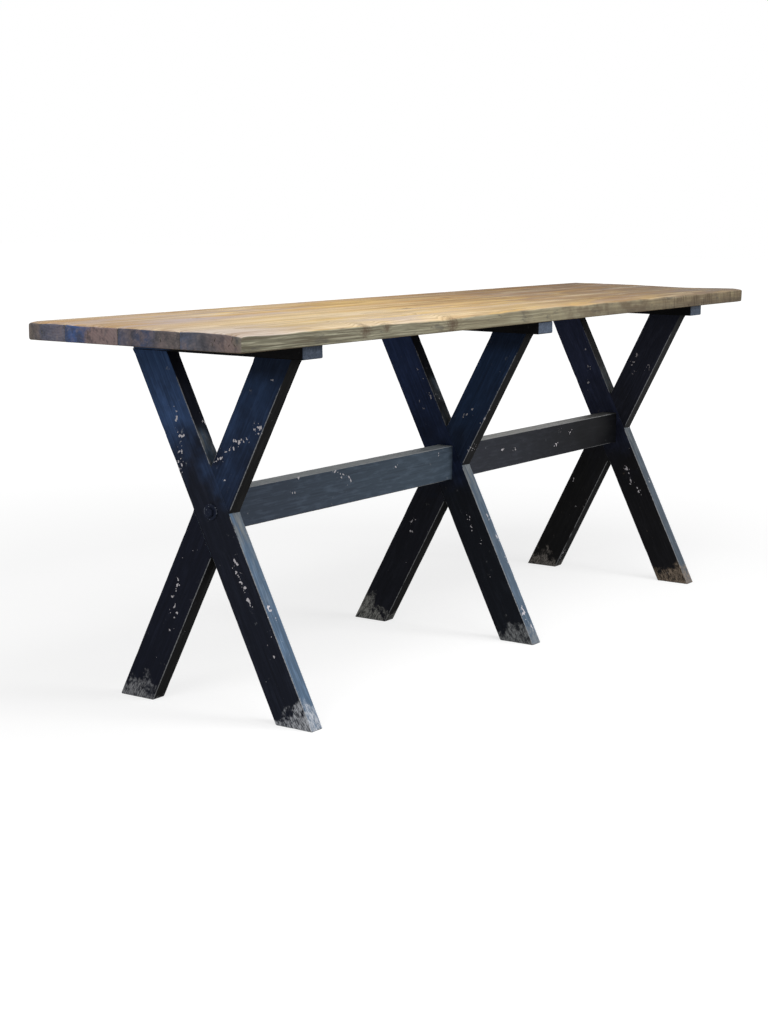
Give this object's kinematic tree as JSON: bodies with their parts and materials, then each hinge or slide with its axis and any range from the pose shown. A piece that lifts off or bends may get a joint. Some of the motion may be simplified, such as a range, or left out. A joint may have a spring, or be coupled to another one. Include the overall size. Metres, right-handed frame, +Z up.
{
  "type": "sawbuck table",
  "caption": "Long narrow counter-height sawbuck table: worn plank top on X-shaped half-lapped trestles joined by bolted stretchers, with a chipped dark painted base.",
  "frame": {"origin": "on the floor under the middle of the top", "axes": "+X along the table, +Y from the front edge to the rear edge, +Z up"},
  "size_m": [2.53, 0.596, 0.9],
  "materials": {
    "pine_top": "worn, oiled, uneven",
    "painted_wood": "satin dark blue paint, chipped and rubbed",
    "dowel_wood": "plain beech",
    "painted_steel": "painted with the base, rubbed bright on the corners",
    "steel": "zinc plated"
  },
  "bodies": {
    "root": {"top_board_front": "pine_top", "top_board_front_inner": "pine_top", "top_board_rear_inner": "pine_top", "top_board_rear": "pine_top", "seam_dowels_front": "dowel_wood", "seam_dowels_middle": "dowel_wood", "seam_dowels_rear": "dowel_wood", "left_joint_dowels": "dowel_wood", "middle_left_joint_dowels": "dowel_wood", "middle_right_joint_dowels": "dowel_wood", "right_joint_dowels": "dowel_wood", "left_front_leg": "painted_wood", "left_rear_leg": "painted_wood", "left_bearer": "painted_wood", "middle_front_leg": "painted_wood", "middle_rear_leg": "painted_wood", "middle_bearer": "painted_wood", "right_front_leg": "painted_wood", "right_rear_leg": "painted_wood", "right_bearer": "painted_wood", "left_stretcher": "painted_wood", "right_stretcher": "painted_wood", "left_bolt": "painted_steel", "left_washer": "painted_steel", "right_bolt": "painted_steel", "right_washer": "painted_steel", "left_barrel_nut": "steel", "middle_left_barrel_nut": "steel", "middle_right_barrel_nut": "steel", "right_barrel_nut": "steel", "middle_stud": "steel", "left_leg_screws": "steel", "left_top_screws": "steel", "middle_leg_screws": "steel", "middle_top_screws": "steel", "right_leg_screws": "steel", "right_top_screws": "steel"}
  },
  "joints": []
}
